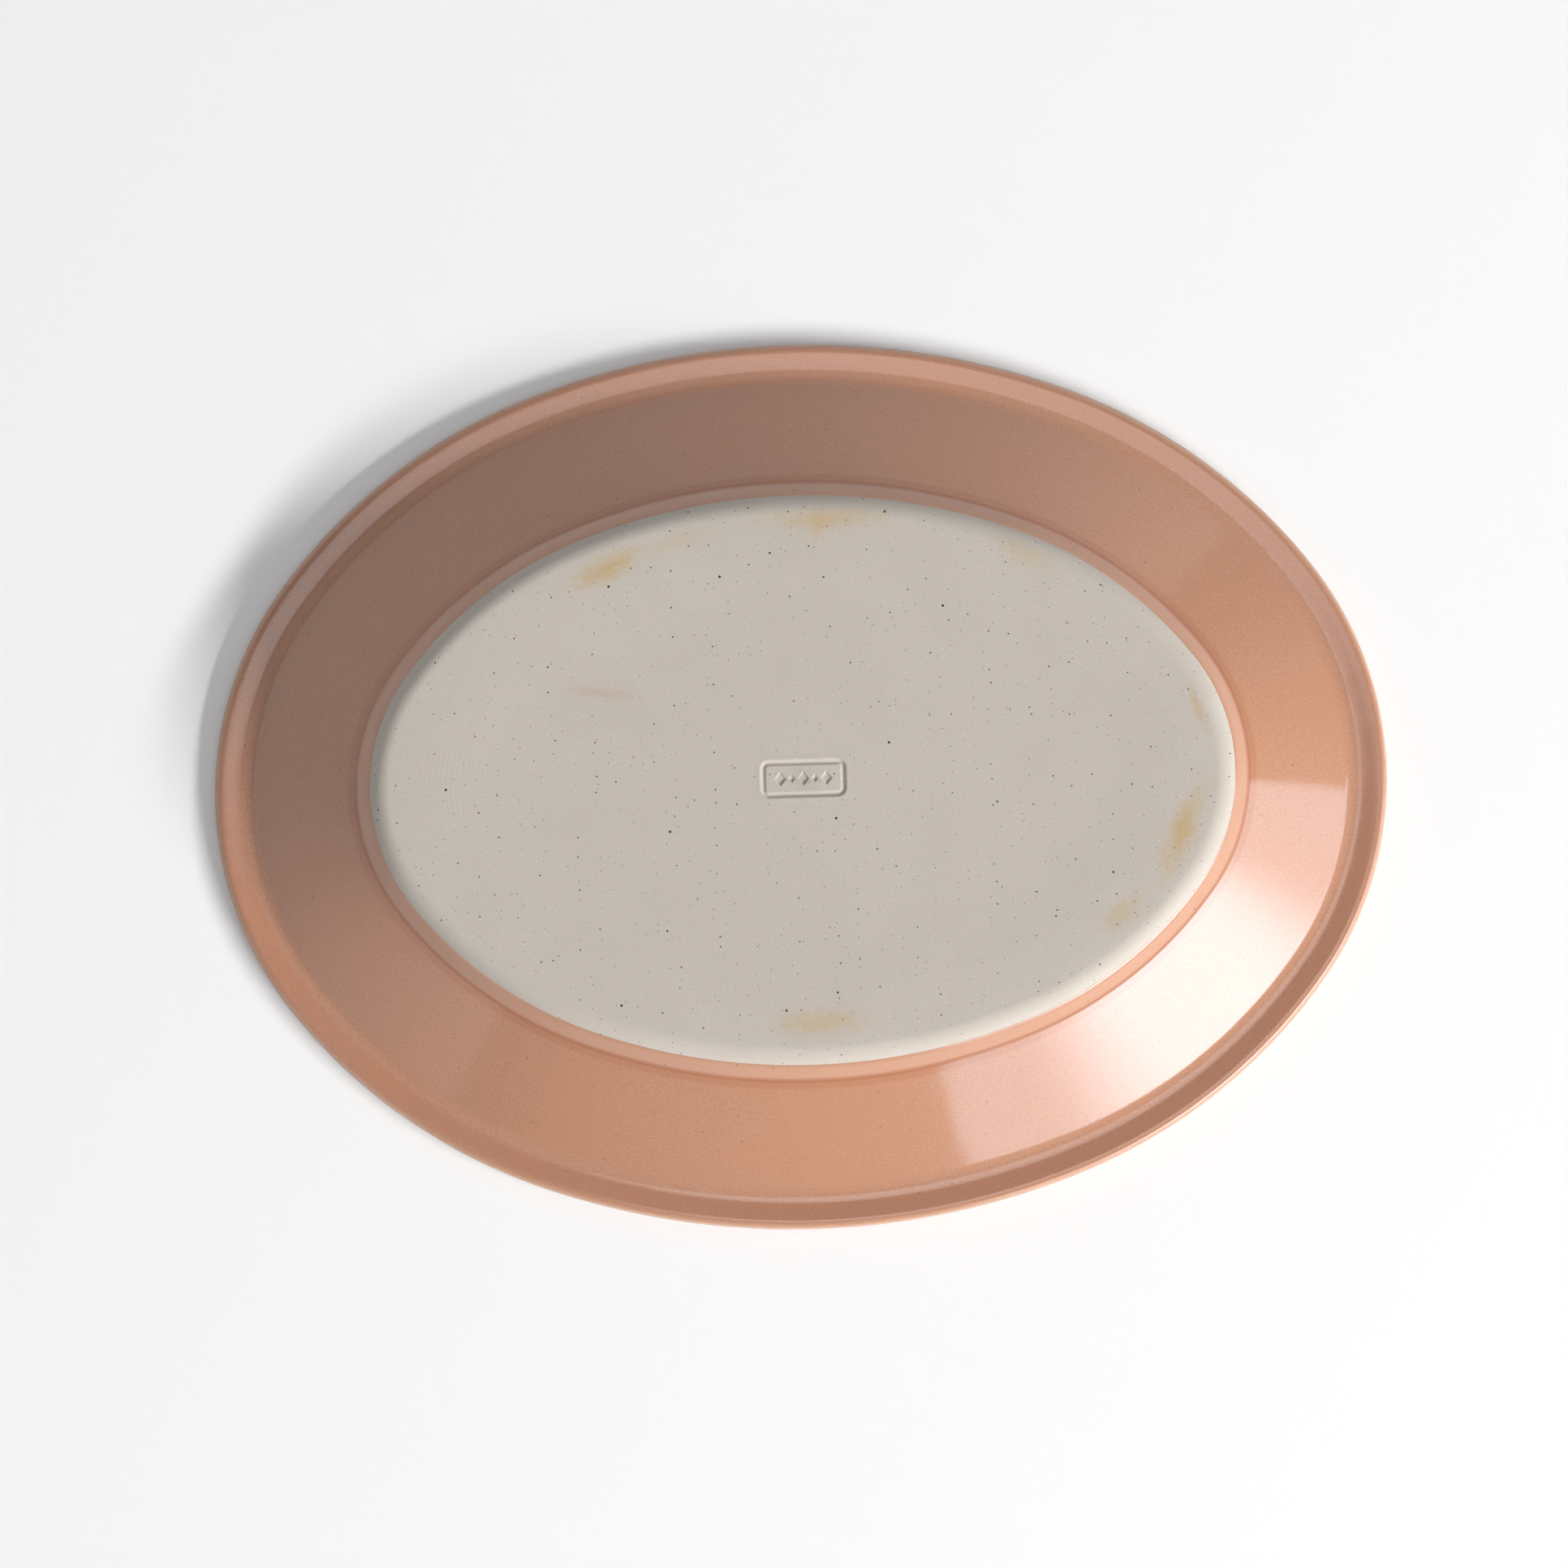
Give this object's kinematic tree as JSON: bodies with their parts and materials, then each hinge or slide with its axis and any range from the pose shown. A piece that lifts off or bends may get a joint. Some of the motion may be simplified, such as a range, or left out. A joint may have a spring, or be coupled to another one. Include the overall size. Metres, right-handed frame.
{
  "type": "oval serving platter",
  "caption": "Oval stoneware serving platter with a flared wall, narrow lip, bare stepped foot and tan satin glaze; it holds and serves food.",
  "frame": {"origin": "middle of the platter's lip plane, on the surface that it lies on face down", "axes": "+X along the length, +Y along the width, +Z from the lip out through the foot face; the platter lies face down, and turning it 180 degrees about X puts it on its foot, ready to serve"},
  "size_m": [0.305, 0.2304, 0.0295],
  "materials": {
    "stoneware": "bare fired speckled stoneware, pale warm grey, matt",
    "face_glaze": "tan satin-gloss glaze with fine grain",
    "back_glaze": "tan satin-gloss glaze with fine grain"
  },
  "bodies": {
    "root": {"stoneware_body": "stoneware", "face_glaze": "face_glaze", "back_glaze": "back_glaze"}
  },
  "joints": []
}
